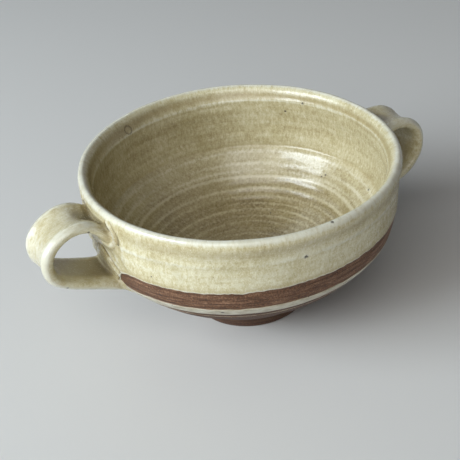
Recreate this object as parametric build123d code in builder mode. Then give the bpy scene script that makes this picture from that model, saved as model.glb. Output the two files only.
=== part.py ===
"""A thrown stoneware soup bowl with two pulled strap lugs.

Millimetres. +Z is up, +X runs along the lugs, and the origin is under the middle of the foot.
The wall is round where it was turned and eases into an oval at the rim, where the lugs pushed it in.
"""

import os

from build123d import *

# Rim and lip
rim_diameter = 135.0
bowl_height = 71.0
lip_thickness = 5.4
lip_roll = 2.7  # the lip's widest part lies this far below its top
lip_rounding = 2.4
rim_squeeze_share = 0.033  # how far the lugs push the rim in, and so out across them

# Outside of the wall: how far below the rim, and how far inside its widest part
throat_drop = 8.5
throat_inset = 2.2
neck_drop = 13.0
neck_inset = 3.1
waist_drop = 18.0
waist_inset = 3.5
glaze_edge_drop = 23.7
glaze_edge_inset = 3.8

# Turned underside: each share is of the height left between the point above it and the foot ring
band_share = 0.2
band_inset = 5.7
belly_share = 0.148
belly_inset = 9.1
foot_line_share = 0.108
foot_line_inset = 11.6
hip_share = 0.383
hip_inset = 22.6

# Foot ring
foot_radius = 25.2
foot_height = 5.2
foot_flare = 0.8  # the ring is this much wider where it meets the bowl than where it stands
foot_width = 5.6
foot_recess = 3.8
foot_edge = 0.7  # the edge wiped round both sides of the foot

# Inside
wall_thickness = 3.8
bead_drop = 6.0  # the low ridge under the lip
bead_height = 0.76
cove_drop = 27.5  # the crease where the wall turns into the floor
cove_thickness = 6.5
floor_thickness = 7.4
cove_power = 2.8  # how flat the floor stays before it climbs to the crease
ring_count = 8
ring_start_share = 0.2  # where the innermost throwing ring begins on the way out to the crease
ring_depth = 0.35

# Glaze
glaze_film = 0.35
glaze_bite = 1.5  # the film's blank starts this far inside the clay, which is then cut away from it
foot_line_width = 1.0

# Strap lugs, both pulled from one length of clay
strap_width = 22.2
strap_thickness = 5.4
thumb_groove = 1.1
root_spread = 4.4  # how much wider the strap grows where it is smeared onto the wall
root_swell = 3.4  # how much thicker it grows there
root_blend_share = 0.24  # how much of the strap's length each root blends away over
root_overlap = 4.4  # the strap starts this far inside the bowl, and is cut back to the clay
heel_overlap = 8.7
strap_stations = 12
reach_out = 22.4  # how far the middle of either strap stands off the wall

# Left lug: the middle of the strap, how far it stands off the wall and how far below the rim
left_azimuth = 182.0
left_root_drop = 16.6
left_crown_out = 8.0
left_crown_drop = 3.7
left_shoulder_out = 21.8
left_shoulder_drop = 10.6
left_reach_drop = 20.2
left_base_out = 14.4
left_base_drop = 26.0
left_heel_drop = 35.6

# Right lug, set a little lower on the wall
right_azimuth = 360.5
right_root_drop = 15.2
right_crown_out = 8.0
right_crown_drop = 7.6
right_shoulder_out = 22.6
right_shoulder_drop = 13.6
right_reach_drop = 21.6
right_base_out = 15.4
right_base_drop = 29.8
right_heel_drop = 35.6

rim_radius = rim_diameter / 2
roll_height = bowl_height - lip_roll
edge_height = bowl_height - glaze_edge_drop
edge_radius = rim_radius - glaze_edge_inset
band_height = edge_height - band_share * (edge_height - foot_height)
belly_height = band_height - belly_share * (band_height - foot_height)
foot_line_height = belly_height - foot_line_share * (belly_height - foot_height)
hip_height = foot_line_height - hip_share * (foot_line_height - foot_height)
cove_height = bowl_height - cove_drop
cove_radius = edge_radius - cove_thickness
floor_height = foot_recess + floor_thickness
inner_radius = rim_radius - waist_inset - wall_thickness
lip_inner_radius = rim_radius - lip_thickness

outer_stations = [
    (edge_height, edge_radius),
    (bowl_height - waist_drop, rim_radius - waist_inset),
    (bowl_height - neck_drop, rim_radius - neck_inset),
    (bowl_height - throat_drop, rim_radius - throat_inset),
    (roll_height, rim_radius),
]
inner_stations = [
    (cove_height, cove_radius),
    (bowl_height - waist_drop, inner_radius),
    (bowl_height - throat_drop, inner_radius),
    (bowl_height - bead_drop, inner_radius + bead_height),
    (roll_height, lip_inner_radius),
]

# The turned outline from the main glaze's edge down to the top of the foot ring
band_point = (rim_radius - band_inset, band_height)
belly_point = (rim_radius - belly_inset, belly_height)
foot_line_point = (rim_radius - foot_line_inset, foot_line_height)
underside = Spline(
    (edge_radius, edge_height),
    band_point,
    belly_point,
    foot_line_point,
    (rim_radius - hip_inset, hip_height),
    (foot_radius + foot_flare, foot_height),
)
band_end = underside.param_at_point(band_point)
belly_end = underside.param_at_point(belly_point)
foot_line_start = underside.param_at_point(foot_line_point)
foot_line_end = foot_line_start + foot_line_width / underside.length


def oval(height, radius):
    """One level section of the wall, out of round by more the nearer it lies to the rim."""
    climb = max(0, (height - edge_height) / (roll_height - edge_height))
    squeeze = rim_squeeze_share * min(1, climb) ** 2
    with BuildSketch(Plane.XY.offset(height)) as section:
        Ellipse(radius * (1 - squeeze), radius * (1 + squeeze))
    return section.sketch


def floor_point(share, inset):
    """A point of the cove and floor at a share of the way out to the crease."""
    rise = cove_height - floor_height - inset
    return (share * (cove_radius - inset), floor_height + inset + rise * share**cove_power)


def floor_section(inset):
    """Half the hollow below the crease: finger grooves between the crests of the throwing rings."""
    pitch_share = (1 - ring_start_share) / ring_count
    with BuildSketch(Plane.XZ) as section:
        with BuildLine():
            Line((0, cove_height), (0, floor_height + inset))
            Line((0, floor_height + inset), floor_point(ring_start_share, inset))
            for ring in range(ring_count):
                start_share = ring_start_share + ring * pitch_share
                start = floor_point(start_share, inset)
                end = floor_point(start_share + pitch_share, inset)
                SagittaArc(start, end, ring_depth)
            Line((cove_radius - inset, cove_height), (0, cove_height))
        make_face()
    return section.sketch


def beside_outline(place, distance):
    """A point beside the turned outline, outside the clay for a positive distance."""
    return underside @ place + (underside % place).rotate(Axis.Z, 90) * distance


def film_section(start, end):
    """The glaze film over one stretch of the turned outline, with a blank's depth of it inside the clay."""
    with BuildSketch(Plane.XZ) as section:
        with BuildLine():
            crest = beside_outline((start + end) / 2, glaze_film)
            ThreePointArc(beside_outline(start, glaze_film), crest, beside_outline(end, glaze_film))
            Line(beside_outline(end, glaze_film), beside_outline(end, -glaze_bite))
            Line(beside_outline(end, -glaze_bite), beside_outline(start, -glaze_bite))
            Line(beside_outline(start, -glaze_bite), beside_outline(start, glaze_film))
        make_face()
    return section.sketch


def strap_section(place, width, thickness):
    """A pulled strap across its length: beaded edges and a thumb groove down the outer face."""
    outer = strap_thickness / 2
    inner = thickness - outer
    bead = width / 2 - outer
    with BuildSketch(place) as section:
        with BuildLine():
            Spline(
                (width / 2, 0),
                (bead, outer),
                (0, outer - thumb_groove),
                (-bead, outer),
                (-width / 2, 0),
                (-bead, -inner),
                (0, -inner),
                (bead, -inner),
                periodic=True,
            )
        make_face()
    return section.sketch


def strap(root_drop, crown, shoulder, reach, base, heel_drop):
    """A strap pulled along +X, from inside the wall over the crown, round and back to its heel."""
    root = (inner_radius - root_overlap, 0, bowl_height - root_drop)
    loop = [(edge_radius + out, 0, bowl_height - drop) for out, drop in (crown, shoulder, reach, base)]
    heel = (edge_radius - heel_overlap, 0, bowl_height - heel_drop)
    path = Spline(root, *loop, heel)
    sections = []
    for station in range(strap_stations + 1):
        share = station / strap_stations
        spread = max(0, 1 - min(share, 1 - share) / root_blend_share) ** 2
        place = Plane(origin=path @ share, x_dir=(0, 1, 0), z_dir=path % share)
        width = strap_width + spread * root_spread
        sections.append(strap_section(place, width, strap_thickness + spread * root_swell))
    return loft(sections, mode=Mode.PRIVATE)


# Hollow inside the clay
with BuildPart() as hollow:
    loft([oval(height, radius) for height, radius in inner_stations])
    extrude(oval(roll_height, lip_inner_radius), amount=lip_roll)
    revolve(floor_section(0), axis=Axis.Z)

# Hollow inside the glaze
with BuildPart() as glazed_hollow:
    loft([oval(height, radius - glaze_film) for height, radius in inner_stations])
    extrude(oval(roll_height, lip_inner_radius - glaze_film), amount=lip_roll + glaze_film)
    revolve(floor_section(glaze_film), axis=Axis.Z)

# Blank for the film inside: the hollow grown into the clay, which is cut back out of it later
with BuildPart() as bitten_hollow:
    loft([oval(height, radius + glaze_bite) for height, radius in inner_stations])
    revolve(floor_section(-glaze_bite), axis=Axis.Z)

# The thrown form before it is hollowed: the oval wall, the turned underside and the foot ring
with BuildPart() as thrown_form:
    loft([oval(height, radius) for height, radius in outer_stations])
    extrude(oval(roll_height, rim_radius), amount=lip_roll)
    with BuildSketch(Plane.XZ):
        with BuildLine():
            Line((0, edge_height), (edge_radius, edge_height))
            add(underside)
            Line((foot_radius + foot_flare, foot_height), (foot_radius, 0))
            Line((foot_radius, 0), (foot_radius - foot_width, 0))
            Line((foot_radius - foot_width, 0), (foot_radius - foot_width - foot_flare, foot_recess))
            Line((foot_radius - foot_width - foot_flare, foot_recess), (0, foot_recess))
            Line((0, foot_recess), (0, edge_height))
        make_face()
    revolve(axis=Axis.Z)

# Bowl body
with BuildPart() as bowl_body:
    add(thrown_form.part)
    add(hollow.part, mode=Mode.SUBTRACT)
    fillet(bowl_body.edges().filter_by(GeomType.CIRCLE).group_by(Axis.Z)[0], radius=foot_edge)
    fillet(bowl_body.faces().sort_by(Axis.Z)[-1].edges(), radius=lip_rounding)

# Straps as pulled, before they are pressed onto the wall
with BuildPart() as left_strap:
    with Locations(Rotation(0, 0, left_azimuth)):
        add(
            strap(
                left_root_drop,
                (left_crown_out, left_crown_drop),
                (left_shoulder_out, left_shoulder_drop),
                (reach_out, left_reach_drop),
                (left_base_out, left_base_drop),
                left_heel_drop,
            )
        )
    add(bitten_hollow.part, mode=Mode.SUBTRACT)

with BuildPart() as right_strap:
    with Locations(Rotation(0, 0, right_azimuth)):
        add(
            strap(
                right_root_drop,
                (right_crown_out, right_crown_drop),
                (right_shoulder_out, right_shoulder_drop),
                (reach_out, right_reach_drop),
                (right_base_out, right_base_drop),
                right_heel_drop,
            )
        )
    add(bitten_hollow.part, mode=Mode.SUBTRACT)

# Left handle, seated on the wall
with BuildPart() as left_handle:
    add(left_strap.part)
    add(thrown_form.part, mode=Mode.SUBTRACT)

# Right handle, seated on the wall
with BuildPart() as right_handle:
    add(right_strap.part)
    add(thrown_form.part, mode=Mode.SUBTRACT)

# Main glaze: one film over the inside, the lip and the outside down to the bare band, open at the lugs
with BuildPart() as glaze_coat:
    add(bitten_hollow.part)
    loft([oval(height, radius + glaze_film) for height, radius in outer_stations])
    extrude(oval(roll_height, rim_radius + glaze_film), amount=lip_roll + glaze_film)
    add(glazed_hollow.part, mode=Mode.SUBTRACT)
    fillet(glaze_coat.faces().sort_by(Axis.Z)[-1].edges(), radius=lip_rounding + glaze_film)
    add(bowl_body.part, mode=Mode.SUBTRACT)
    add(left_strap.part, mode=Mode.SUBTRACT)
    add(right_strap.part, mode=Mode.SUBTRACT)

# Pale ring of glaze below the bare band
with BuildPart() as glaze_line:
    revolve(film_section(band_end, belly_end), axis=Axis.Z)
    add(left_strap.part, mode=Mode.SUBTRACT)
    add(right_strap.part, mode=Mode.SUBTRACT)
    add(bowl_body.part, mode=Mode.SUBTRACT)

# Hair-thin ring of glaze on the turned underside
with BuildPart() as foot_line:
    revolve(film_section(foot_line_start, foot_line_end), axis=Axis.Z)
    add(bowl_body.part, mode=Mode.SUBTRACT)

os.makedirs("parts", exist_ok=True)
bowl_body.part.label = "bowl_body"
export_step(bowl_body.part, "parts/bowl_body.step")
left_handle.part.label = "left_handle"
export_step(left_handle.part, "parts/left_handle.step")
right_handle.part.label = "right_handle"
export_step(right_handle.part, "parts/right_handle.step")
glaze_coat.part.label = "glaze_coat"
export_step(glaze_coat.part, "parts/glaze_coat.step")
glaze_line.part.label = "glaze_line"
export_step(glaze_line.part, "parts/glaze_line.step")
foot_line.part.label = "foot_line"
export_step(foot_line.part, "parts/foot_line.step")
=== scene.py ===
"""Looks for the lug soup bowl, in glazed stoneware: shaped in millimetres and placed in metres."""

import math

import bpy
import numpy as np
from mathutils import Matrix, Vector
from mathutils.bvhtree import BVHTree


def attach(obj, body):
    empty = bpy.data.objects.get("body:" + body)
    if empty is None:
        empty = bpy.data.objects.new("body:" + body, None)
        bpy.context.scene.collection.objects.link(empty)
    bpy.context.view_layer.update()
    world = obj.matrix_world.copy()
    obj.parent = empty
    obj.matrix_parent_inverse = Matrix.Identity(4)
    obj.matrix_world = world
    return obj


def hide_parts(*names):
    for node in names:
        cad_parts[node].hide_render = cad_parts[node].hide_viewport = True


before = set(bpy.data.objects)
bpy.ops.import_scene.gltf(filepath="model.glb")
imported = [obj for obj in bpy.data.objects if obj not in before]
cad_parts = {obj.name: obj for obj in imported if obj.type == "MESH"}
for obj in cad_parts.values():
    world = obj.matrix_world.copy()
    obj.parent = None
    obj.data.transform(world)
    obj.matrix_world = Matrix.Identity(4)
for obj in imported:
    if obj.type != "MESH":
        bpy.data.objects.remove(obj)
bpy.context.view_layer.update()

MM = 0.001
FAR = 99.0
LUMP_WAVES = 14

# The wall and the floor: the rim is out of round by a share of its radius, and the floor climbs by a power
RIM_Z = 68.3
RIM_SQUEEZE = 0.038
RIM_SAG = 0.3
CREASE_R = 57.2
CREASE_Z = 43.5
FLOOR_Z = 11.2
FLOOR_POWER = 2.8
RECESS_Z = 4.1
LUG_AZIMUTHS = (182.0, 360.5)
# Distances round the wall are taken at this radius, and the section's outer side has this length
ARC_RADIUS = 63.7
OUTER_LENGTH = 90

# The glaze: its film, its hidden back, its edge above the bare band, the pale ring and the hairline ring
FILM = 0.32
FILM_SUNK = 0.02
FILM_BACK = 1.5
CLAY_DEPTH = 1.3
EDGE_Z = 47.3
BAND_Z = 38.9
BAND_OVERRUN = 0.7
PALE_END_Z = 33.9
HAIRLINE_Z = 30.8
# Turned grooves beside the pale ring: height, depth and width
GROOVES = [(33.1, 0.35, 0.55), (29.9, 0.2, 0.6)]
# Waves along the glaze edge: seed, size, fewest and most of them in a turn
EDGE_WAVES = [(3, 0.3, 2, 7), (4, 0.16, 18, 60), (5, 0.12, 70, 150)]
# Between these distances from a lug's middle line the glaze edge climbs from the pale ring to its height
EDGE_CLIMB = (9.0, 16.5)
# Streaks of running glaze: their coordinates round the lip, and how far they stretch down the section
RUN_RADIUS = 64
RUN = 0.5
# The glaze's rounded edge, and the roll behind it: how much thicker, how far from the edge and how wide
EDGE_ROUNDING = 0.75
EDGE_BEAD = 0.14
EDGE_BEAD_PLACE = 0.95
EDGE_BEAD_WIDTH = 0.6
# The pale rings' rounded edges, and how deep their backs lie
RING_EDGE_ROUNDING = 0.6
RING_BACK = 0.7
# Most that a point's pooling (pooled glaze and painted shade) and thinning (glaze rubbed thin and painted
# sheen) can reach
LAYER_TOP = 1.4

# Fineness of the meshes: columns round the bowl, closer together by the lugs, and steps along the section
COLUMNS = 440
FINE_ANGLES = 7201
LUG_CROWDING = 2.4
LUG_CROWDING_REACH = 19
FLOOR_STEPS = 240
SECTION_STEP = 0.25
# Steps between the coat's rows on the floor, the inner wall and the lip, and its number of rows outside
FLOOR_ROW_STEP = 0.72
WALL_ROW_STEP = 0.85
LIP_ROW_STEP = 0.62
OUTER_ROWS = 33

# Throwing rings: each crest has its radius on the floor or height on a wall, and its share of the relief
FLOOR_RINGS = {
    "crests": [
        (8.0, 0.5), (12.0, 0.5), (15.6, 0.6), (19.0, 0.6), (22.2, 0.6), (25.2, 0.7), (28.0, 0.7),
        (31.2, 0.8), (34.3, 0.8), (36.8, 0.9), (39.3, 0.6), (41.9, 0.9), (44.7, 1.0), (48.5, 1.3),
        (50.4, 0.8), (52.6, 0.9), (55.6, 0.8),
    ],
    "width": 1.15,
    "height": 0.30,
    "thinning": 1.0,
    "seed": 100,
}
INNER_RINGS = {
    "crests": [(48.3, 0.5), (51.6, 0.4), (55.2, 0.55), (58.6, 0.4), (61.4, 0.3)],
    "width": 1.3,
    "height": 0.22,
    "thinning": 0.8,
    "seed": 200,
}
OUTER_RINGS = {
    "crests": [(59.9, 0.9), (55.3, 0.55), (51.4, 0.45)],
    "width": 1.8,
    "height": 0.26,
    "thinning": 0.75,
    "seed": 300,
}
# Waves of a crest's line and of its strength round the bowl: size, fewest and most of them in a turn
CREST_WANDER = (0.22, 1, 4)
CREST_UNEVEN = (0.25, 1, 5)
CREST_ROUNDNESS = 1.6
FLOOR_HOLLOW = 0.18
WALL_HOLLOW = 0.12
CREASE_DEPTH = 0.25

# The blend of a lug into the wall: its reach at the heel, how much more at the loop and less by the lip
HEEL_REACH = 1.5
LOOP_REACH_MORE = 0.7
LIP_REACH_LESS = 1.3
DEEPEST_JOINT = -1.5

# The ridge under the lip, inside
LIP_RIDGE_Z = 64.9
LIP_RIDGE_TILT = 0.8
LIP_RIDGE_TURN = 0.35
LIP_RIDGE_WIDTH = 0.6
LIP_RIDGE_SPREAD = 1.3
LIP_RIDGE_CREST = 0.2
LIP_RIDGE_FOOT = 0.22

# The clay's section, from the crease over the lip and down to the middle of the recess under the foot
SECTION = [
    (CREASE_R, CREASE_Z), (58.5, 47.0), (59.7, 51.5), (60.2, 56.5), (60.2, 61.0), (60.75, 64.6),
    (61.35, 66.6), (62.1, 68.8), (63.3, 70.4), (64.6, 71.0), (65.6, 70.5), (66.0, 69.3), (65.95, 67.6),
    (65.45, 65.2), (64.9, 62.6), (64.5, 59.4), (64.2, 55.0), (63.95, 50.5), (63.7, EDGE_Z), (63.1, 43.2),
    (61.8, BAND_Z), (60.3, 36.3), (58.4, PALE_END_Z), (55.9, HAIRLINE_Z), (51.2, 25.8), (44.9, 20.6),
    (37.0, 13.9), (30.5, 8.6), (26.8, 5.9), (25.9, 4.6), (25.4, 2.4), (25.2, 0.9), (24.6, 0.15),
    (22.4, 0.0), (20.2, 0.15), (19.5, 1.0), (19.0, 2.8), (17.8, 3.8), (12.0, 4.0), (0.0, RECESS_Z),
]


def running_total(steps):
    """The total so far before each step, and after the last."""
    return np.concatenate([[0], np.cumsum(steps)])


def step_lengths(points):
    """How far apart the neighbouring points of a line lie."""
    return np.linalg.norm(np.diff(points, axis=0), axis=1)


def peak(value, centre, width):
    """1 at the centre, falling away on both sides of it over that width."""
    return np.exp(-(((value - centre) / width) ** 2))


def smooth(low, high, value):
    """0 up to the low value, 1 from the high one, and an eased climb between them."""
    t = np.clip((value - low) / (high - low), 0, 1)
    return t * t * (3 - 2 * t)


def spaced(points, step):
    """A smooth curve through the points, given as points a step apart."""
    points = np.array(points, float)
    chord = step_lengths(points)
    knots = running_total(np.sqrt(chord))
    slopes = np.gradient(points, knots, axis=0, edge_order=1)
    curve = []
    for k in range(len(points) - 1):
        span = knots[k + 1] - knots[k]
        count = max(2, int(math.ceil(chord[k] / (step / 4))))
        t = np.linspace(0, 1, count, endpoint=False)[:, None]
        curve.append(
            (2 * t**3 - 3 * t**2 + 1) * points[k]
            + (t**3 - 2 * t**2 + t) * span * slopes[k]
            + (-2 * t**3 + 3 * t**2) * points[k + 1]
            + (t**3 - t**2) * span * slopes[k + 1]
        )
    curve = np.vstack(curve + [points[-1:]])
    along = running_total(step_lengths(curve))
    even = np.linspace(0, along[-1], int(along[-1] / step) + 1)
    return np.stack([np.interp(even, along, curve[:, axis]) for axis in range(curve.shape[1])], 1)


# The whole section, from the middle of the floor to the middle of the recess, and places along it
floor_r = np.linspace(0, CREASE_R, FLOOR_STEPS)
floor_z = FLOOR_Z + (CREASE_Z - FLOOR_Z) * (floor_r / CREASE_R) ** FLOOR_POWER
profile = np.vstack([np.stack([floor_r, floor_z], 1)[:-1], spaced(SECTION, SECTION_STEP)])
path = running_total(step_lengths(profile))
heading = np.gradient(profile, path, axis=0)
heading /= np.linalg.norm(heading, axis=1)[:, None]
normals = np.stack([-heading[:, 1], heading[:, 0]], 1)
top = int(np.argmax(profile[:, 1]))
crease_s = path[len(floor_r) - 1]
lip_s = path[top]
foot = int(np.argmin(np.abs(path - lip_s - OUTER_LENGTH)))


def profile_at(s):
    """Radius, height and outward normal of the clay at each place along its section."""
    columns = (profile[:, 0], profile[:, 1], normals[:, 0], normals[:, 1])
    r, z, normal_r, normal_z = (np.interp(s, path, column) for column in columns)
    size = np.hypot(normal_r, normal_z)
    return r, z, normal_r / size, normal_z / size


def outside_s(z):
    """The place along the section where its outer side has that height."""
    return np.interp(-np.asarray(z), -profile[top:foot, 1], path[top:foot])


def signed_gap(angle, azimuth):
    """Distance round the wall from the middle line of the lug at that azimuth, with its sign."""
    return ((angle - math.radians(azimuth) + math.pi) % (2 * math.pi) - math.pi) * ARC_RADIUS


def lug_gap(angle):
    """Distance round the wall from the nearer lug's middle line."""
    return np.minimum(*[np.abs(signed_gap(angle, azimuth)) for azimuth in LUG_AZIMUTHS])


def column_angles():
    """Angles of the mesh columns, closer together by the lugs."""
    fine = np.linspace(0, 2 * math.pi, FINE_ANGLES)
    density = 1 + LUG_CROWDING * peak(lug_gap(fine), 0, LUG_CROWDING_REACH)
    share = running_total((density[1:] + density[:-1]) / 2)
    return np.interp(np.arange(COLUMNS) / COLUMNS * share[-1], share, fine)


theta = column_angles()[None, :]


def ripple(seed, size, lowest, highest):
    """A smooth closed wave round the bowl, of about that size, with lowest to highest waves in a turn."""
    rng = np.random.default_rng(seed)
    wave = np.zeros_like(theta)
    spread = math.sqrt(highest - lowest + 1)
    for turns in range(lowest, highest + 1):
        wave += rng.normal() * np.sin(turns * theta + rng.uniform(0, 2 * math.pi)) / spread
    return size * wave


def lumps(points, seed, size, reach):
    """A smooth unevenness through space, of about that size and with features of about that reach."""
    rng = np.random.default_rng(seed)
    value = np.zeros(points.shape[:-1])
    for _ in range(LUMP_WAVES):
        direction = rng.normal(size=3)
        direction *= 2 * math.pi / (reach * rng.uniform(0.7, 1.8) * np.linalg.norm(direction))
        value += np.sin(points @ direction + rng.uniform(0, 2 * math.pi))
    return size * value / math.sqrt(LUMP_WAVES)


glaze_edge_z = (
    EDGE_Z
    + ripple(*EDGE_WAVES[0])
    + ripple(*EDGE_WAVES[1])
    + ripple(*EDGE_WAVES[2])
    - (EDGE_Z - BAND_Z + BAND_OVERRUN) * (1 - smooth(*EDGE_CLIMB, lug_gap(theta)))
)


def out_of_round(z):
    """How far the wall is out of round at that height, as a share of the rim's."""
    return np.clip((z - EDGE_Z) / (RIM_Z - EDGE_Z), 0, 1) ** 2


def round_place(r, z):
    """Points of the turned form in space, out of round towards the rim, where the lugs push it in."""
    share = out_of_round(z)
    sag = RIM_SAG * share * (0.5 + 0.5 * np.sin(2 * theta + 0.6) * np.sin(theta + 2.1))
    squeeze = RIM_SQUEEZE * share
    return np.stack([r * (1 - squeeze) * np.cos(theta), r * (1 + squeeze) * np.sin(theta), z - sag], -1)


def crest_relief(place, crests, width, height, thinning, seed):
    """Relief and thinness of the glaze at throwing rings whose crests lie at those places."""
    relief = np.zeros_like(place)
    thin = np.zeros_like(place)
    for k, (crest, share) in enumerate(crests):
        offset = (place - crest - ripple(seed + k, *CREST_WANDER)) / width
        strength = share * (1 + ripple(seed + 50 + k, *CREST_UNEVEN))
        relief += strength * np.exp(-np.abs(offset) ** CREST_ROUNDNESS)
        thin = np.maximum(thin, strength * np.exp(-(offset**2) * 3))
    return height * relief, thinning * thin


def surface(s):
    """The glaze at places s: its relief, how thin it breaks, and its share of the inside's darker colour,
    partly painted shade.
    """
    r, z, _, _ = profile_at(s)
    on_floor = 1 - smooth(crease_s - 0.6, crease_s + 0.6, s)
    toward_middle = 1 - smooth(crease_s - 30, crease_s + 1.5, s)
    on_inner = (1 - on_floor) * (1 - smooth(lip_s - 4, lip_s - 2.5, s))
    clear_of_lugs = smooth(11, 20, lug_gap(theta))
    on_outer = smooth(lip_s + 5, lip_s + 7, s) * smooth(BAND_Z, EDGE_Z, z) * clear_of_lugs
    relief = np.zeros_like(s)
    crest = np.zeros_like(s)
    zones = [(on_floor, r, FLOOR_RINGS), (on_inner, z, INNER_RINGS), (on_outer, z, OUTER_RINGS)]
    for zone, place, rings in zones:
        ring_relief, ring_thin = crest_relief(place, **rings)
        relief += zone * ring_relief
        crest += zone * ring_thin
    below_lip = z - LIP_RIDGE_Z - LIP_RIDGE_TILT * np.cos(theta + LIP_RIDGE_TURN) - ripple(71, 0.12, 2, 6)
    ridge = on_inner * peak(below_lip, 0, LIP_RIDGE_WIDTH) * (0.95 + ripple(72, 0.1, 3, 12))
    ridge_foot = on_inner * np.exp(-np.abs(below_lip / LIP_RIDGE_SPREAD) ** CREST_ROUNDNESS)
    relief += LIP_RIDGE_FOOT * ridge_foot + LIP_RIDGE_CREST * ridge
    crest += 1.05 * ridge
    relief -= FLOOR_HOLLOW * on_floor + WALL_HOLLOW * on_inner + CREASE_DEPTH * peak(s, crease_s, 1.0)
    return relief, crest, 0.55 * (on_floor + on_inner) * (1 - 0.8 * ridge) + 0.45 * toward_middle


def wall_height(points):
    """Rough distance of points outside the glazed wall, measured square to it."""
    z = points[..., 2]
    r, _, normal_r, _ = profile_at(outside_s(np.clip(z, 8, RIM_Z)))
    squeeze = RIM_SQUEEZE * out_of_round(z)
    radius = np.hypot(points[..., 0] / (1 - squeeze), points[..., 1] / (1 + squeeze))
    return (radius - r - FILM) * np.abs(normal_r)


def joint_reach(z):
    """How far the smeared clay of a joint spreads over the wall: less below the loop, least by the lip."""
    return HEEL_REACH + LOOP_REACH_MORE * smooth(47, 51, z) - LIP_REACH_LESS * smooth(58.5, 62, z)


def fillet(distance, reach):
    """How far a surface lifts at that distance from the one it joins, past halfway going under it."""
    half = reach * (1 - math.sqrt(0.5))
    clear = np.clip(distance, half, reach)
    lift = reach - np.sqrt(np.maximum(reach**2 - (reach - clear) ** 2, 0))
    return lift + 0.75 * np.clip(half - distance, 0, 1.5 * reach)


def joint_pool(distance):
    """How much glaze gathers at that distance from the surface a joint blends into."""
    return peak(distance, 1.2, 2)


def natural_spline(points, count):
    """A curve with even curvature through the points."""
    points = np.array(points, float)
    knots = running_total(step_lengths(points))
    n = len(points)
    h = np.diff(knots)
    system = np.eye(n)
    rhs = np.zeros_like(points)
    for k in range(1, n - 1):
        system[k, k - 1 : k + 2] = (h[k - 1], 2 * (h[k - 1] + h[k]), h[k])
        rhs[k] = 6 * ((points[k + 1] - points[k]) / h[k] - (points[k] - points[k - 1]) / h[k - 1])
    bend = np.linalg.solve(system, rhs)
    t = np.linspace(0, knots[-1], count)
    k = np.clip(np.searchsorted(knots, t, side="right") - 1, 0, n - 2)
    a = ((knots[k + 1] - t) / h[k])[:, None]
    b = 1 - a
    step = (h[k] ** 2)[:, None] / 6
    return a * points[k] + b * points[k + 1] + ((a**3 - a) * bend[k] + (b**3 - b) * bend[k + 1]) * step


# Meshes


def grid_quads(count, columns, join_rows=False):
    """Faces of a grid whose rows are closed rings, with its last row joined to its first if asked."""
    i = np.arange(count if join_rows else count - 1)[:, None]
    j = np.arange(columns)[None, :]
    following = (j + 1) % columns
    below = (i + 1) % count
    corners = [i * columns + j, i * columns + following, below * columns + following, below * columns + j]
    return np.stack(corners, -1).reshape(-1, 4)


def signed_volume(points, faces):
    """Six times the volume that the faces close in, below 0 where they point inwards."""
    total = 0.0
    for size in (3, 4):
        chosen = np.array([face for face in faces if len(face) == size])
        if len(chosen):
            for k in range(1, size - 1):
                a, b, c = points[chosen[:, 0]], points[chosen[:, k]], points[chosen[:, k + 1]]
                total += np.einsum("ij,ij->", a, np.cross(b, c))
    return total


def write_layer(mesh, name, values, has_poles):
    """Values kept at the points of a mesh, one or three for each point of its grid."""
    if values.ndim == 3:
        ends = np.zeros((2 if has_poles else 0, 3))
        flat = np.vstack([values.reshape(-1, 3), ends]).astype(np.float32)
        mesh.attributes.new(name, "FLOAT_VECTOR", "POINT").data.foreach_set("vector", flat.ravel())
    else:
        ends = [values[0].mean(), values[-1].mean()] if has_poles else []
        flat = np.concatenate([values.ravel(), ends]).astype(np.float32)
        mesh.attributes.new(name, "FLOAT", "POINT").data.foreach_set("value", flat)


def write_mesh(name, rows, layers, material, poles=None):
    """A closed piece from rings of points, with a point at either end or else its ends joined."""
    count, columns = rows.shape[:2]
    points = rows.reshape(-1, 3)
    faces = [tuple(face) for face in grid_quads(count, columns, poles is None).tolist()]
    if poles is not None:
        first = len(points)
        last_row = first - columns
        points = np.vstack([points, np.array(poles, float)])
        faces += [(first, (j + 1) % columns, j) for j in range(columns)]
        faces += [(first + 1, last_row + j, last_row + (j + 1) % columns) for j in range(columns)]
    mesh = bpy.data.meshes.new(name)
    mesh.from_pydata((points * MM).tolist(), [], faces)
    for layer, values in layers.items():
        write_layer(mesh, layer, values, poles is not None)
    mesh.update()
    mesh.polygons.foreach_set("use_smooth", np.ones(len(mesh.polygons), bool))
    piece = bpy.data.objects.new(name, mesh)
    bpy.context.scene.collection.objects.link(piece)
    if signed_volume(points, faces) < 0:
        mesh.flip_normals()
    mesh.materials.append(material)
    return piece


# Strap lugs: the width and thickness of the strap, the groove and beads of its outer face, and its roots
STRAP_WIDTH = 22.2
STRAP_THICKNESS = 5.4
STRAP_LENGTH = 76
STRAP_ROWS = 190
STRAP_COLUMNS = 112
SIDE_SQUARENESS = 0.66
FACE_SQUARENESS = 0.78
THUMB_GROOVE = 1.55
THUMB_GROOVE_SHARE = 0.74
INNER_HOLLOW = 0.35
BEAD_HEIGHT = 0.42
BEAD_SHARE = 0.82
BEAD_WIDTH_SHARE = 0.16
ROOT_SHARE = 0.24
ROOT_SPREAD = 1.5
ROOT_SWELL = 0.5
FLARE_SHARE = 0.13
FLARE_SPREAD = 2.4
WIDTH_WAVER = 0.22
THICKNESS_WAVER = 0.12
# Rows of the strap that go on under the wall past either root, a step apart, and how deep they lie at least
BURIED_ROWS = 9
BURIED_STEP = 0.6
SUNK = 1.1
# The wall is measured from a lug only this near its middle line, which is taken at one row in so many
NEAR_LUG = 20
MIDDLE_STRIDE = 6


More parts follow.
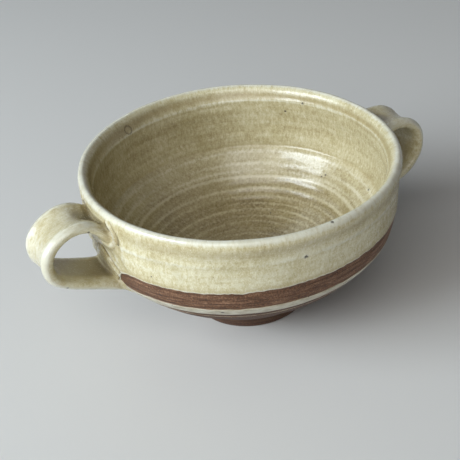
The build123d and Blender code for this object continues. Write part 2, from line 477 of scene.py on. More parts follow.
class Lug:
    """One pulled strap: its line in the upright plane through the bowl's axis, its skin and its joint."""

    def __init__(self, name, azimuth, line, seed, dent):
        self.name = name
        self.azimuth = math.radians(azimuth)
        self.line = line
        self.seed = seed
        self.dent = dent
        self.raw = self.skin()
        self.middle = self.raw.mean(1)
        quads = grid_quads(STRAP_ROWS, STRAP_COLUMNS).tolist()
        self.tree = BVHTree.FromPolygons([Vector(p) for p in self.raw.reshape(-1, 3)], quads)
        self.sense = self.facing()

    def middle_line(self):
        """Radius and height along the middle of the strap, with its straight buried ends."""
        line = natural_spline(self.line, STRAP_ROWS - 2 * BURIED_ROWS)
        steps = np.arange(BURIED_ROWS, 0, -1)[:, None] * BURIED_STEP
        start = line[1] - line[0]
        end = line[-1] - line[-2]
        before = line[0] - steps * start / np.linalg.norm(start)
        after = line[-1] + steps[::-1] * end / np.linalg.norm(end)
        return np.vstack([before, line, after])

    def skin(self):
        """Rows of points round the strap, from the upper root to the heel."""
        line = self.middle_line()
        along = np.gradient(line, axis=0)
        along /= np.linalg.norm(along, axis=1)[:, None]
        outward = np.stack([-along[:, 1], along[:, 0]], 1)
        share = np.clip(np.arange(STRAP_ROWS) - BURIED_ROWS, 0, STRAP_ROWS - 2 * BURIED_ROWS - 1)
        share = share / share[-1]
        root = np.clip(1 - np.minimum(share, 1 - share) / ROOT_SHARE, 0, 1) ** 2
        flare = np.clip(1 - share / FLARE_SHARE, 0, 1) ** 2
        width = STRAP_WIDTH / 2 + ROOT_SPREAD * root + FLARE_SPREAD * flare
        width += WIDTH_WAVER * np.sin(share * 9 + self.seed)
        half = STRAP_THICKNESS / 2 + ROOT_SWELL * root
        half += THICKNESS_WAVER * np.sin(share * 13 + 2 * self.seed)
        turn = np.linspace(0, 2 * math.pi, STRAP_COLUMNS, endpoint=False)[None, :]
        c, s = np.cos(turn), np.sin(turn)
        across = np.sign(c) * np.abs(c) ** SIDE_SQUARENESS
        depth = np.sign(s) * np.abs(s) ** FACE_SQUARENESS
        outer = np.clip(depth, 0, 1) ** 0.5
        inner = np.clip(-depth, 0, 1) ** 0.5
        hollow = np.clip(1 - (across / THUMB_GROOVE_SHARE) ** 2, 0, 1) ** 1.15
        bead = peak(np.abs(across), BEAD_SHARE, BEAD_WIDTH_SHARE)
        place, dent_depth, dent_length, dent_width = self.dent
        dent = peak(share, place, dent_length)[:, None] * peak(across, 0, dent_width)
        lift = depth * half[:, None] - outer * hollow * THUMB_GROOVE + outer * bead * BEAD_HEIGHT
        lift += inner * hollow * INNER_HOLLOW - outer * dent * dent_depth
        radial = np.array([math.cos(self.azimuth), math.sin(self.azimuth), 0.0])
        tangent = np.array([-math.sin(self.azimuth), math.cos(self.azimuth), 0.0])
        r = line[:, 0][:, None] + outward[:, 0][:, None] * lift
        z = line[:, 1][:, None] + outward[:, 1][:, None] * lift
        points = r[..., None] * radial + (across * width[:, None])[..., None] * tangent
        points[..., 2] += z
        self.share = np.repeat(share[:, None], STRAP_COLUMNS, 1)
        self.across = np.repeat(across, STRAP_ROWS, 0)
        self.outer = np.repeat(outer, STRAP_ROWS, 0)
        self.groove = np.repeat(hollow, STRAP_ROWS, 0) * self.outer
        self.pressed = self.outer * dent
        return points

    def facing(self):
        """1 where the skin's faces point outwards, and -1 where they point in."""
        centre = Vector(self.middle[STRAP_ROWS // 2])
        place, normal, _, _ = self.tree.find_nearest(centre)
        return 1 if (centre - place).dot(normal) < 0 else -1

    def distance(self, points):
        """Signed distance of points from the strap's raw skin, for those near its middle line."""
        flat = points.reshape(-1, 3)
        result = np.full(len(flat), FAR)
        from_middle = np.linalg.norm(flat[:, None] - self.middle[None, ::MIDDLE_STRIDE], axis=2).min(1)
        for k in np.nonzero(from_middle < NEAR_LUG)[0]:
            place, normal, _, gap = self.tree.find_nearest(Vector(flat[k]))
            outside = (Vector(flat[k]) - place).dot(normal) * self.sense > 0
            result[k] = gap if outside else -gap
        return result.reshape(points.shape[:-1])

    def skin_normals(self):
        """Outward normals of the raw skin."""
        normal = np.cross(np.gradient(self.raw, axis=1), np.gradient(self.raw, axis=0))
        normal /= np.maximum(np.linalg.norm(normal, axis=2), 1e-9)[..., None]
        flip = np.sign(np.einsum("ijk,ijk->ij", normal, self.raw - self.middle[:, None]))
        flip[flip == 0] = 1
        return normal * flip[..., None]

    def piece(self, material):
        """The strap with its roots smeared out onto the wall."""
        height = wall_height(self.raw)
        grow = fillet(np.maximum(height, DEEPEST_JOINT), joint_reach(self.raw[..., 2]))
        uneven = lumps(self.raw, self.seed, 0.09, 9) - 0.1
        points = self.raw + self.skin_normals() * (grow + uneven)[..., None]
        under = np.clip(-SUNK - wall_height(points), 0, None)
        radial = points * (1.0, 1.0, 0.0)
        points += radial / np.linalg.norm(radial, axis=2)[..., None] * under[..., None]
        edge = smooth(0.5, 0.86, np.abs(self.across))
        worn = edge * (0.3 + 0.7 * self.outer)
        # Paler where the glaze breaks over the strap's edges, and painted sheen over the lower part of its
        # outer face
        rubbed_and_sheen = 0.75 * worn + 0.5 * self.outer * smooth(0.2, 0.45, self.share)
        inner_face_shade = (1 - np.clip(self.outer * 3, 0, 1)) * (1 - edge)
        # Browner where glaze pools in the groove, the thumb dent and the joint, and painted shade on the
        # inner face towards the heel
        pool_and_shade = (
            self.groove * 0.25
            + self.pressed * 0.85
            + joint_pool(height) * (0.45 - 0.2 * smooth(0.7, 0.9, self.share))
            + inner_face_shade * 0.6 * smooth(0.4, 0.6, self.share)
        )
        flow = [
            self.across * STRAP_WIDTH / 2 + 20 * self.seed,
            self.outer * STRAP_THICKNESS,
            self.share * STRAP_LENGTH * RUN,
        ]
        layers = {
            "thin": rubbed_and_sheen * smooth(-1, 5, height),
            "pool_and_shade": np.clip(pool_and_shade, 0, LAYER_TOP),
            "floor": np.zeros_like(worn),
            "flow": np.stack(flow, -1),
        }
        return write_mesh(self.name, points, layers, material, (points[0].mean(0), points[-1].mean(0)))


# Each lug: its line as radius and height, its seed, and a thumb dent by place, depth, length and width
LUGS = [
    Lug(
        "left_strap_lug",
        LUG_AZIMUTHS[0],
        [(61.9, 60.0), (70.3, 67.2), (86.1, 60.25), (85.9, 51.0), (78.1, 45.25), (57.6, 36.9)],
        1,
        (0.12, 1.25, 0.055, 0.4),
    ),
    Lug(
        "right_strap_lug",
        LUG_AZIMUTHS[1],
        [(61.9, 59.1), (71.1, 62.1), (84.1, 57.4), (86.2, 50.4), (79.7, 39.7), (57.6, 36.2)],
        2,
        (0.14, 0.7, 0.06, 0.4),
    ),
]

# Marks dragged over the wall at each joint: their line by distance from the lug's middle and height, then
# their lift and width
SMEARS = [
    ([(2.4, 55.9), (8.8, 51.6), (14.3, 46.6)], -1.1, 0.65),
    ([(1.2, 53.0), (6.2, 48.4), (11.6, 43.2)], -0.9, 0.62),
    ([(5.2, 57.4), (10.8, 53.2), (16.6, 47.8)], 0.6, 1.0),
    ([(3.2, 53.8), (8.0, 49.6), (12.8, 45.0)], 0.55, 0.9),
    ([(11.6, 61.5), (14.2, 55.8), (18.4, 50.6)], -0.35, 0.8),
    ([(11.0, 68.4), (14.0, 65.6), (14.6, 61.8), (12.6, 57.4), (15.4, 52.8)], 0.6, 1.1),
    ([(12.7, 68.6), (16.0, 65.0), (16.7, 61.0), (15.4, 57.6)], -0.6, 0.6),
    ([(14.6, 68.4), (17.9, 64.2), (18.8, 59.8), (18.4, 54.4)], 0.3, 0.9),
    ([(9.8, 67.8), (12.2, 64.8), (12.8, 61.2)], -0.6, 0.7),
]
SMEAR_REACH = 24
SMEAR_LOWEST_Z = 38
# The marks are weaker and a little higher on each lug's other side
OTHER_SIDE_STRENGTH = 0.55
OTHER_SIDE_RISE = 0.6


def smears(z):
    """Ridges and creases dragged down the wall by the roots of each lug, where the clay was pressed on."""
    lift = np.zeros(z.shape)
    for azimuth in LUG_AZIMUTHS:
        gap = np.broadcast_to(signed_gap(theta, azimuth), z.shape)
        for side, strength, rise in ((1, 1, 0), (-1, OTHER_SIDE_STRENGTH, OTHER_SIDE_RISE)):
            near = (gap * side > -1) & (gap * side < SMEAR_REACH) & (z > SMEAR_LOWEST_Z)
            here = np.stack([gap[near] * side, z[near] + rise], 1)
            for line, size, width in SMEARS:
                away = np.full(len(here), FAR)
                for start, end in zip(line[:-1], line[1:]):
                    start, step = np.array(start), np.subtract(end, start)
                    share = np.clip((here - start) @ step / (step @ step), 0, 1)
                    away = np.minimum(away, np.linalg.norm(here - start - share[:, None] * step, axis=1))
                lift[near] += size * strength * peak(away, 0, width)
    return lift


def rounded(from_edge, width):
    """Share of a film's thickness near its edge, which is rounded over that width."""
    return np.sqrt(np.clip(1 - (1 - np.clip(from_edge / width, 0, 1)) ** 2, 0, 1))


def flow_space(s):
    """Coordinates in which the glaze runs: round the bowl by its rim, and slowly down its section."""
    angle, s = np.broadcast_arrays(theta, s)
    radius = RUN_RADIUS * np.clip(profile_at(s)[0] / CREASE_R, 0, 1) ** (s < crease_s)
    return np.stack([radius * np.cos(angle), radius * np.sin(angle), s * RUN], -1)


def glaze_places():
    """Places of the coat's rows along the section: those that show, its edge, and its hidden back."""
    floor = np.concatenate([np.linspace(1.2, 13, 11), np.arange(13.6, crease_s + 0.3, FLOOR_ROW_STEP)])
    wall = np.arange(floor[-1] + 0.7, lip_s - 6, WALL_ROW_STEP)
    lip = np.arange(wall[-1] + 0.6, lip_s + 7, LIP_ROW_STEP)
    inner = np.concatenate([floor, wall, lip])[:, None]
    start = lip[-1] + 0.6
    end = outside_s(glaze_edge_z)
    before_edge = np.array([2.1, 1.5, 1.0, 0.65, 0.38, 0.2, 0.08, 0.0])[:, None]
    share = np.linspace(0, 1, OUTER_ROWS + 1)[:-1, None]
    outer = start + share * (end - before_edge[0] - start)
    shown = np.vstack([inner * np.ones_like(theta), outer, end - before_edge])
    behind = np.linspace(start - 3, 3, 16)[:, None] * np.ones_like(theta)
    hidden = np.vstack([end - 0.25, end - 1.5, start * np.ones_like(theta), behind])
    return shown, end, hidden


def glaze_rows():
    """The glaze over the inside, the lip and the outside, and its hidden back against the clay."""
    s, end, hidden = glaze_places()
    r, z, normal_r, normal_z = profile_at(s)
    relief, crest, inside_tone_and_shade = surface(s)
    from_edge = end - s
    past_lip = s > lip_s
    outside = s > lip_s + 4
    bead = EDGE_BEAD * peak(from_edge, EDGE_BEAD_PLACE, EDGE_BEAD_WIDTH) * past_lip
    film = (FILM + bead) * rounded(from_edge, EDGE_ROUNDING)
    dragged = smears(z) * past_lip
    thick = film + relief + lumps(round_place(r, z), 7, 0.07, 17) - FILM_SUNK + dragged
    points = round_place(r + normal_r * thick, z + normal_z * thick)
    upright = np.broadcast_to(normal_z, normal_r.shape)
    normal = np.stack([normal_r * np.cos(theta), normal_r * np.sin(theta), upright], -1)
    pool_and_shade = np.zeros_like(r)
    for lug in LUGS:
        gap = np.full(r.shape, FAR)
        gap[outside] = lug.distance(points[outside])
        reach = joint_reach(z)
        joint = np.where(gap < reach, fillet(np.maximum(gap, DEEPEST_JOINT), reach), 0) * outside
        points = points + normal * (joint * smooth(0, 1.2, from_edge))[..., None]
        pool_and_shade = np.maximum(pool_and_shade, joint_pool(gap) * 0.45)
    lip_wear = np.exp(-(((s - lip_s - 0.45) / 1.95) ** 4))
    edge_line = peak(from_edge, 0.4, 0.4) * past_lip
    # The browner bands just under the lip, outside and in, are partly glaze pooled in the hollow and partly
    # painted shade under the lip's roll
    throat = peak(s, lip_s + 5.6, 2.6) + 1.3 * peak(s, lip_s - 5.3, 1.3)
    roll = peak(from_edge, 1.4, 0.8) * past_lip
    # The dragged creases are browner and their ridges paler: partly pooled and broken glaze, partly painted
    # shade and painted highlight
    pool_and_shade = pool_and_shade + 1.3 * np.clip(-dragged, 0, 1) + 0.36 * throat + 0.46 * roll
    pool_and_shade += 0.2 * peak(s, crease_s + 0.4, 0.9)
    shown = {
        "thin": np.clip(crest * 0.75 + lip_wear * 0.78 + edge_line + np.clip(dragged, 0, 1), 0, LAYER_TOP),
        "pool_and_shade": np.clip(pool_and_shade, 0, LAYER_TOP),
        "floor": inside_tone_and_shade,
        "flow": flow_space(s),
    }
    layers = {}
    for key, value in shown.items():
        layers[key] = np.vstack([value, np.zeros((len(hidden),) + value.shape[1:])])
    back_r, back_z, back_normal_r, back_normal_z = profile_at(hidden)
    back = round_place(back_r - back_normal_r * FILM_BACK, back_z - back_normal_z * FILM_BACK)
    return np.vstack([points, back]), layers


def clay_rows():
    """The turned body: plain where glaze covers it, with its turning marks where it is bare."""
    floor = np.linspace(2, crease_s, 24)
    wall = np.linspace(crease_s + 1.5, outside_s(52.0), 26)
    band = np.arange(wall[-1] + 0.5, outside_s(29.6), 0.45)
    under = np.arange(band[-1] + 0.8, path[-1] - 21, 0.85)
    standing = np.arange(under[-1] + 0.5, path[-1] - 17, 0.5)
    recess = np.linspace(path[-1] - 16, path[-1] - 2, 10)
    s = np.concatenate([floor, wall, band, under, standing, recess])[:, None] * np.ones_like(theta)
    r, z, normal_r, normal_z = profile_at(s)
    edge = outside_s(glaze_edge_z)
    covered = 1 - smooth(edge - 3.4, edge - 1.4, s)
    groove = sum(deep * peak(s, outside_s(height), width) for height, deep, width in GROOVES)
    turning = 0.05 * np.sin(s * 2.4 + ripple(61, 0.5, 1, 3)) + 0.04 * np.sin(s * 3.7 + 1.0)
    bare = turning - groove + lumps(round_place(r, z), 9, 0.05, 12)
    depth = -CLAY_DEPTH * covered + (1 - covered) * bare
    depth *= smooth(0, 2.5, z)
    points = round_place(r + normal_r * depth, z + normal_z * depth)
    points[..., 2] = np.maximum(points[..., 2], 0)
    stands = (1 - smooth(0.0, 1.6, z)) * (r < 27) * (r > 17)
    layers = {
        "worn": np.clip(stands + peak(s, outside_s(5.6), 1.2) * 0.4, 0, 1),
        # Darker clay under the pale ring and down over the foot: painted shade under the bowl
        "underside_shade": np.clip(smooth(outside_s(36), outside_s(31), s), 0, 1),
    }
    return points, layers


def ring_rows(upper_z, lower_z, film, seed, waver, wear):
    """A closed band of glaze round the turned underside, with uneven edges and worn by that much."""
    upper_waver = ripple(seed, waver, 2, 6) + ripple(seed + 1, waver / 2, 20, 60)
    lower_waver = ripple(seed + 2, waver, 2, 6) + ripple(seed + 3, waver / 2, 20, 60)
    upper = outside_s(upper_z + upper_waver)
    lower = outside_s(lower_z + lower_waver)
    share = (0.5 - 0.5 * np.cos(np.linspace(0, math.pi, 15)))[:, None]
    s = upper + share * (lower - upper)
    r, z, normal_r, normal_z = profile_at(s)
    edge = np.minimum(s - upper, lower - s)
    thick = film * rounded(edge, np.minimum(RING_EDGE_ROUNDING, (lower - upper) / 2))
    front = round_place(r + normal_r * thick, z + normal_z * thick)
    back_s = upper + np.array([0.95, 0.5, 0.05])[:, None] * (lower - upper)
    r, z, normal_r, normal_z = profile_at(back_s)
    back = round_place(r - normal_r * RING_BACK, z - normal_z * RING_BACK)
    worn = np.vstack([np.maximum(wear, peak(edge, 0, 0.3)), np.zeros_like(back_s)])
    return np.vstack([front, back]), {"worn": worn}


# Materials


def paint(red, green, blue):
    """A colour as it looks on a screen, turned into the light that it reflects."""
    values = [c / 255 for c in (red, green, blue)]
    return tuple(c / 12.92 if c <= 0.04045 else ((c + 0.055) / 1.055) ** 2.4 for c in values) + (1.0,)


# Tones of the glazes and the clay, from dark to pale, each with its place on the scale of tone
OUTSIDE_TONES = [
    (0.38, paint(176, 161, 120)),
    (0.46, paint(198, 187, 148)),
    (0.52, paint(210, 202, 167)),
    (0.58, paint(219, 213, 184)),
    (0.68, paint(229, 226, 204)),
]
# The inside's tones, and its worn and fleck colours, are darker than the outside's: partly thicker glaze,
# partly painted shade of the bowl's hollow
INSIDE_TONES = [
    (0.38, paint(118, 101, 65)),
    (0.47, paint(147, 131, 91)),
    (0.54, paint(167, 152, 112)),
    (0.66, paint(194, 183, 147)),
]
PALE_TONES = [(0.34, paint(160, 150, 126)), (0.47, paint(184, 176, 155)), (0.62, paint(203, 198, 181))]
CLAY_TONES = [
    (0.41, paint(60, 37, 23)),
    (0.47, paint(88, 58, 38)),
    (0.52, paint(112, 78, 54)),
    (0.59, paint(148, 115, 90)),
]
HONEY = paint(163, 146, 104)
UMBER = paint(84, 76, 56)
OLIVE = paint(146, 132, 78)
WORN_AND_SHEEN_OUTSIDE = paint(219, 217, 201)
WORN_INSIDE = paint(206, 194, 158)
FLECK_OUTSIDE = paint(236, 230, 206)
FLECK_INSIDE = paint(196, 182, 142)
PINHOLE = paint(98, 76, 42)
SCAR = paint(78, 60, 32)
IRON = paint(52, 38, 22)
RUBBED_RING = paint(122, 96, 70)
RING_IRON = paint(48, 34, 24)
UNDERSIDE_SHADE_CLAY = paint(56, 37, 27)
RUBBED_CLAY = paint(132, 100, 76)
GROG = paint(176, 146, 116)
SOOT = paint(40, 26, 20)
TABLE_GREY = paint(216, 214, 210)

# Iron spots that broke through the glaze, each with its radius
IRON_SPOTS = [
    ((46.2, 38.4, 60.4), 0.8),
    ((51.1, 30.9, 65.4), 0.75),
    ((-8.9, -64.8, 59.5), 1.1),
    ((0.9, -67.3, 71.0), 0.85),
    ((53.1, -16.5, 41.0), 0.9),
    ((-22.0, -60.5, 55.0), 0.5),
    ((16.0, -62.0, 52.0), 0.6),
    ((-69.6, -13.7, 66.4), 0.65),
    ((-82.0, -13.5, 46.3), 0.65),
    ((50.2, 12.8, 36.3), 0.6),
    ((49.0, 14.4, 35.3), 0.5),
]
# A ring-shaped scar left by a bubble inside the wall
CRATER = (-24.5, 57.3, 65.9)
CRATER_RADIUS = 1.9
# The dark speck in the pale ring
RING_SPECK = (-36.3, -49.1, 36.8)
RING_SPECK_RADIUS = 0.9
# Share of a spot's radius within which it is full
SPOT_CORE = 0.45


class Shade:
    """A material and its nodes, which take places in millimetres."""

    def __init__(self, name):
        self.material = bpy.data.materials.new(name)
        self.material.use_nodes = True
        self.tree = self.material.node_tree
        self.tree.nodes.clear()
        self.output = self.node("ShaderNodeOutputMaterial")
        self.surface = self.node("ShaderNodeBsdfPrincipled")
        self.tree.links.new(self.surface.outputs[0], self.output.inputs[0])
        coordinates = self.node("ShaderNodeTexCoord")
        self.place = self.stretched(coordinates.outputs["Object"], (1000, 1000, 1000))

    def node(self, kind, **settings):
        made = self.tree.nodes.new(kind)
        for key, value in settings.items():
            setattr(made, key, value)
        return made

    def feed(self, socket, value):
        """Links a socket to another one, or sets it to a number or a colour."""
        if isinstance(value, bpy.types.NodeSocket):
            self.tree.links.new(value, socket)
        elif value is not None:
            socket.default_value = value

    def stretched(self, vector, factors):
        """The place, stretched by those factors along its axes."""
        made = self.node("ShaderNodeVectorMath", operation="MULTIPLY")
        self.feed(made.inputs[0], vector)
        self.feed(made.inputs[1], factors)
        return made.outputs["Vector"]

    def distance(self, centre):
        """Distance from that place on the piece."""
        made = self.node("ShaderNodeVectorMath", operation="DISTANCE")
        self.feed(made.inputs[0], self.place)
        self.feed(made.inputs[1], centre)
        return made.outputs["Value"]

    def math(self, operation, *values):
        made = self.node("ShaderNodeMath", operation=operation)
        for socket, value in zip(made.inputs, values):
            self.feed(socket, value)
        return made.outputs[0]

    def uneven(self, value, noise, amount):
        """The value, carried up and down by that amount of a noise."""
        return self.math("MULTIPLY_ADD", self.math("SUBTRACT", noise, 0.5), amount, value)

    def total(self, first, *others):
        """The sum of values, each times its weight."""
        result = self.math("MULTIPLY", *first)
        for value, weight in others:
            result = self.math("MULTIPLY_ADD", value, weight, result)
        return result

    def layer(self, name, part="Fac"):
        """Values kept at the points of the mesh."""
        return self.node("ShaderNodeAttribute", attribute_name=name).outputs[part]

    def noise(self, vector, scale, detail, roughness, distortion=0.0):
        made = self.node("ShaderNodeTexNoise")
        made.inputs["Scale"].default_value = scale
        made.inputs["Detail"].default_value = detail
        made.inputs["Roughness"].default_value = roughness
        made.inputs["Distortion"].default_value = distortion
        self.feed(made.inputs["Vector"], vector)
        return made.outputs["Fac"]

    def cells(self, scale, output):
        made = self.node("ShaderNodeTexVoronoi")
        made.inputs["Scale"].default_value = scale
        self.feed(made.inputs["Vector"], self.place)
        return made.outputs[output]

    def fit(self, value, low, high, new_low=0.0, new_high=1.0, kind="SMOOTHSTEP"):
        """The value between low and high, carried over to the new range."""
        made = self.node("ShaderNodeMapRange", interpolation_type=kind)
        for socket, number in zip(made.inputs, (value, low, high, new_low, new_high)):
            self.feed(socket, number)
        return made.outputs[0]

    def ramp(self, value, stops):
        """The colour at that value on a scale of colours."""
        made = self.node("ShaderNodeValToRGB")
        self.feed(made.inputs[0], value)
        elements = made.color_ramp.elements
        while len(elements) < len(stops):
            elements.new(0.5)
        for element, (position, colour) in zip(elements, stops):
            element.position = position
            element.color = colour
        return made.outputs[0]

    def mix(self, share, first, second):
        made = self.node("ShaderNodeMix", data_type="RGBA", clamp_factor=True)
        self.feed(made.inputs[0], share)
        self.feed(made.inputs[6], first)
        self.feed(made.inputs[7], second)
        return made.outputs[2]

    def stain(self, colour, where, strength, tint):
        """The colour with a tint laid over it there, at that strength."""
        return self.mix(self.math("MULTIPLY", where, strength), colour, tint)

    def spot(self, away, radius):
        """1 within a spot, 0 outside it, from the distance to its middle."""
        return self.fit(away, radius, radius * SPOT_CORE)

    def specks(self, chance, size, scale):
        """Scattered small spots: 1 at their middle, 0 away from them."""
        distance = self.cells(scale, "Distance")
        lot = self.node("ShaderNodeSeparateColor")
        self.feed(lot.inputs[0], self.cells(scale, "Color"))
        chosen = self.math("GREATER_THAN", lot.outputs[0], 1 - chance)
        return self.math("MULTIPLY", self.spot(distance, size), chosen)

    def bump(self, height, distance, normal=None):
        made = self.node("ShaderNodeBump")
        made.inputs["Strength"].default_value = 1.0
        made.inputs["Distance"].default_value = distance * MM
        self.feed(made.inputs["Height"], height)
        self.feed(made.inputs["Normal"], normal)
        return made.outputs[0]

    def finish(self, colour, roughness, normal=None, ior=1.5):
        self.feed(self.surface.inputs["Base Color"], colour)
        self.feed(self.surface.inputs["Roughness"], roughness)
        self.feed(self.surface.inputs["Normal"], normal)
        self.surface.inputs["IOR"].default_value = ior
        return self.material


def ochre_glaze():
    """Running ochre glaze: finely mottled, darker inside the bowl, browner where it pools and in painted
    shade, pale where it breaks over edges and in painted sheen.
    """
    shade = Shade("ochre_glaze")
    flow = shade.layer("flow", "Vector")
    thin = shade.layer("thin")
    pool_and_shade = shade.layer("pool_and_shade")
    floor = shade.layer("floor")
    blotch = shade.noise(shade.place, 0.06, 3.0, 0.55)
    streak = shade.noise(flow, 0.8, 4.0, 0.6, 0.3)
    fine = shade.noise(flow, 2.6, 3.0, 0.6)
    crystal = shade.noise(shade.place, 1.9, 2.0, 0.5)
    thrown = shade.noise(shade.stretched(shade.place, (0.05, 0.05, 1.0)), 0.45, 3.0, 0.6)
    tone = shade.total((fine, 0.24), (streak, 0.34), (crystal, 0.14), (blotch, 0.2), (thrown, 0.2))
    tone = shade.math("SUBTRACT", tone, 0.06)
    colour = shade.mix(floor, shade.ramp(tone, OUTSIDE_TONES), shade.ramp(tone, INSIDE_TONES))
    # Browner where glaze pools, and also in painted shade under the lip, in the dragged creases and on the
    # straps' inner faces
    colour = shade.mix(shade.fit(pool_and_shade, 0.0, 0.6, 0.0, 0.72, "LINEAR"), colour, HONEY)
    colour = shade.mix(shade.fit(pool_and_shade, 0.45, 1.2, 0.0, 0.85, "LINEAR"), colour, UMBER)
    # Pale where the glaze breaks, and painted sheen on the straps' outer faces
    breaking_and_sheen = shade.fit(shade.uneven(thin, streak, 1.1), 0.15, 0.95)
    colour = shade.stain(colour, breaking_and_sheen, 0.8, shade.mix(floor, WORN_AND_SHEEN_OUTSIDE, WORN_INSIDE))
    olive = shade.fit(shade.noise(shade.place, 0.11, 2.0, 0.5), 0.52, 0.68)
    colour = shade.stain(colour, olive, 0.18, OLIVE)
    flecks = shade.specks(0.5, 0.3, 1.1)
    colour = shade.stain(colour, flecks, 0.34, shade.mix(floor, FLECK_OUTSIDE, FLECK_INSIDE))
    pinholes = shade.specks(0.24, 0.07, 0.36)
    colour = shade.stain(colour, pinholes, 0.5, PINHOLE)
    dots = shade.specks(0.16, 0.05, 0.11)
    for centre, radius in IRON_SPOTS:
        away = shade.uneven(shade.distance(centre), crystal, radius)
        dots = shade.math("MAXIMUM", dots, shade.spot(away, radius))
    crater = shade.uneven(shade.distance(CRATER), crystal, 0.8)
    rim = shade.math("ABSOLUTE", shade.math("SUBTRACT", crater, CRATER_RADIUS))
    rim = shade.fit(rim, 0.6, 0.1)
    colour = shade.stain(colour, rim, 0.55, SCAR)
    colour = shade.stain(colour, dots, 0.85, IRON)
    roughness = shade.fit(fine, 0.3, 0.7, 0.15, 0.28)
    roughness = shade.math("MULTIPLY_ADD", dots, 0.25, roughness)
    ripples = shade.bump(shade.noise(shade.place, 0.35, 2.0, 0.5), 0.14)
    skin = shade.bump(shade.noise(shade.place, 2.2, 2.0, 0.5), 0.018, ripples)
    sunk = shade.math("MAXIMUM", dots, shade.math("MULTIPLY", rim, 0.8))
    sunk = shade.math("MAXIMUM", sunk, pinholes)
    pits = shade.bump(shade.math("SUBTRACT", 1.0, sunk), 0.12, skin)
    return shade.finish(colour, roughness, pits, 1.54)


def pale_glaze():
    """Off-white glaze left in a ring, browner where it is thin at its edges."""
    shade = Shade("pale_glaze")
    worn = shade.layer("worn")
    tone = shade.noise(shade.stretched(shade.place, (0.5, 0.5, 1.0)), 0.5, 4.0, 0.6)
    colour = shade.ramp(tone, PALE_TONES)
    colour = shade.mix(shade.fit(shade.uneven(worn, tone, 1.6), 0.55, 1.0), colour, RUBBED_RING)
    speck = shade.spot(shade.distance(RING_SPECK), RING_SPECK_RADIUS)
    dots = shade.math("MAXIMUM", shade.specks(0.3, 0.12, 0.30), speck)
    colour = shade.stain(colour, dots, 0.9, RING_IRON)
    roughness = shade.fit(tone, 0.3, 0.7, 0.3, 0.45)
    bump = shade.bump(shade.noise(shade.place, 0.8, 3.0, 0.5), 0.06)
    return shade.finish(colour, roughness, bump, 1.5)


def stoneware():
    """Bare brown stoneware with fine turning lines, grog and worn edges, and painted shade on the
    underside.
    """
    shade = Shade("bare_stoneware")
    underside_shade = shade.layer("underside_shade")
    worn = shade.layer("worn")
    turned = shade.stretched(shade.place, (0.07, 0.07, 1.0))
    lines = shade.noise(turned, 1.9, 6.0, 0.78)
    broad = shade.noise(turned, 0.7, 2.0, 0.5)
    grain = shade.noise(shade.place, 1.6, 4.0, 0.6)
    tone = shade.total((grain, 0.35), (lines, 0.5), (broad, 0.15))
    colour = shade.ramp(tone, CLAY_TONES)
    # Painted shade on the underside
    colour = shade.stain(colour, underside_shade, 0.6, UNDERSIDE_SHADE_CLAY)
    colour = shade.stain(colour, worn, 0.35, RUBBED_CLAY)
    colour = shade.stain(colour, shade.specks(0.35, 0.13, 0.42), 0.5, GROG)
    colour = shade.stain(colour, shade.specks(0.3, 0.12, 0.33), 0.6, SOOT)
    roughness = shade.fit(grain, 0.3, 0.7, 0.5, 0.72)
    bump = shade.bump(grain, 0.07, shade.bump(lines, 0.16))
    return shade.finish(colour, roughness, bump, 1.45)


def build_bowl():
    glaze = ochre_glaze()
    pale = pale_glaze()
    clay_floor = (0, 0, FLOOR_Z - CLAY_DEPTH)
    body = write_mesh("turned_body", *clay_rows(), stoneware(), (clay_floor, (0, 0, RECESS_Z)))
    glaze_floor = (0, 0, FLOOR_Z + FILM - 0.1)
    coat = write_mesh("ochre_coat", *glaze_rows(), glaze, (glaze_floor, (0, 0, FLOOR_Z - FILM_BACK)))
    band = write_mesh("pale_ring", *ring_rows(BAND_Z, PALE_END_Z, FILM, 21, 0.16, 0), pale)
    hairline_rows = ring_rows(HAIRLINE_Z + 0.3, HAIRLINE_Z - 0.35, 0.15, 31, 0.1, 0.72)
    hairline = write_mesh("foot_hairline", *hairline_rows, pale)
    pieces = [
        (body, "bowl_body", "stoneware"),
        (coat, "glaze_coat", "ochre_glaze"),
        (band, "glaze_line", "pale_glaze"),
        (hairline, "foot_line", "pale_glaze"),
        (LUGS[0].piece(glaze), "left_handle", "ochre_glaze"),
        (LUGS[1].piece(glaze), "right_handle", "ochre_glaze"),
    ]
    for piece, node, slot in pieces:
        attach(piece, "root")
        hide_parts(node)


# Surroundings

TABLE_HALF = 3
ROOM_LIGHT = 0.05
ROOM_SEEN = 0.5
ROOM_COLOUR = (0.95, 0.97, 1.0, 1)
LAMP_DISTANCE = 1.6
LAMP_TARGET = (0, 0, 0.04)
# Lamps: name, azimuth, elevation, size, power, colour, and whether it only adds sheen
LAMPS = [
    ("window", 175, 27, (1.1, 0.7), 30.0, (0.83, 0.925, 1.0), False),
    ("overhead", 223, 40, (1.3, 1.15), 12.2, (1, 1, 1), False),
    ("far_sky", 95, 45, (1.7, 0.9), 6.5, (0.8, 0.93, 1.0), True),
]
# The camera, worked out from the ovals of the rim and the bands: its place in millimetres, heading and roll
CAMERA_PLACE = (-133.762, -274.253, 229.582)
CAMERA_AZIMUTH = 65.151
CAMERA_DIP = 32.71
CAMERA_ROLL = 6.628
CAMERA_LENS = 66.52
CAMERA_SENSOR = 36


def toward(azimuth, elevation):
    """The unit vector in that direction."""
    a, e = math.radians(azimuth), math.radians(elevation)
    return Vector((math.cos(a) * math.cos(e), math.sin(a) * math.cos(e), math.sin(e)))


def build_floor():
    mesh = bpy.data.meshes.new("table_top")
    low, high = -TABLE_HALF, TABLE_HALF
    corners = [(low, low, 0), (high, low, 0), (high, high, 0), (low, high, 0)]
    mesh.from_pydata(corners, [], [(0, 1, 2, 3)])
    floor = bpy.data.objects.new("table_top", mesh)
    bpy.context.scene.collection.objects.link(floor)
    mesh.materials.append(Shade("table_top").finish(TABLE_GREY, 0.7))


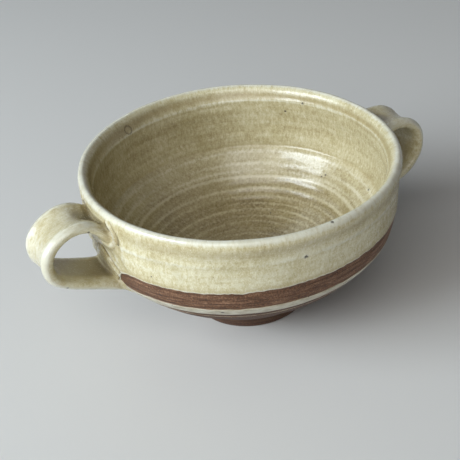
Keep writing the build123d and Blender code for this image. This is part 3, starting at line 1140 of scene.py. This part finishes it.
def build_lamp(name, azimuth, elevation, size, power, colour, sheen_only):
    light = bpy.data.lights.new(name, "AREA")
    light.shape = "RECTANGLE"
    light.size, light.size_y = size
    light.energy = power
    light.color = colour
    lamp = bpy.data.objects.new(name, light)
    lamp.visible_diffuse = not sheen_only
    direction = toward(azimuth, elevation)
    lamp.location = Vector(LAMP_TARGET) + direction * LAMP_DISTANCE
    lamp.rotation_euler = direction.to_track_quat("Z", "Y").to_euler()
    bpy.context.scene.collection.objects.link(lamp)


def build_light():
    """A dim, even room that shows brighter than it lights, and the lamps."""
    world = bpy.data.worlds.new("soft_studio")
    world.use_nodes = True
    tree = world.node_tree
    background = tree.nodes["Background"]
    background.inputs[0].default_value = ROOM_COLOUR
    ray = tree.nodes.new("ShaderNodeLightPath")
    seen = ray.outputs["Is Camera Ray"]
    for kind in ("Is Glossy Ray", "Is Transmission Ray"):
        either = tree.nodes.new("ShaderNodeMath")
        either.operation = "MAXIMUM"
        tree.links.new(seen, either.inputs[0])
        tree.links.new(ray.outputs[kind], either.inputs[1])
        seen = either.outputs[0]
    strength = tree.nodes.new("ShaderNodeMapRange")
    strength.inputs["To Min"].default_value = ROOM_LIGHT
    strength.inputs["To Max"].default_value = ROOM_SEEN
    tree.links.new(seen, strength.inputs["Value"])
    tree.links.new(strength.outputs[0], background.inputs[1])
    bpy.context.scene.world = world
    for lamp in LAMPS:
        build_lamp(*lamp)


def build_camera():
    camera = bpy.data.cameras.new("camera")
    camera.lens = CAMERA_LENS
    camera.sensor_width = CAMERA_SENSOR
    holder = bpy.data.objects.new("camera", camera)
    forward = toward(CAMERA_AZIMUTH, -CAMERA_DIP)
    roll = math.radians(CAMERA_ROLL)
    level = forward.cross(Vector((0, 0, 1))).normalized()
    upright = level.cross(forward)
    up = upright * math.cos(roll) + level * math.sin(roll)
    side = level * math.cos(roll) - upright * math.sin(roll)
    turn = Matrix((side, up, -forward)).transposed().to_4x4()
    holder.matrix_world = Matrix.Translation(Vector(CAMERA_PLACE) * MM) @ turn
    bpy.context.scene.collection.objects.link(holder)
    bpy.context.scene.camera = holder


build_camera()
build_light()
build_floor()
build_bowl()

bpy.context.scene.view_settings.view_transform = "Standard"
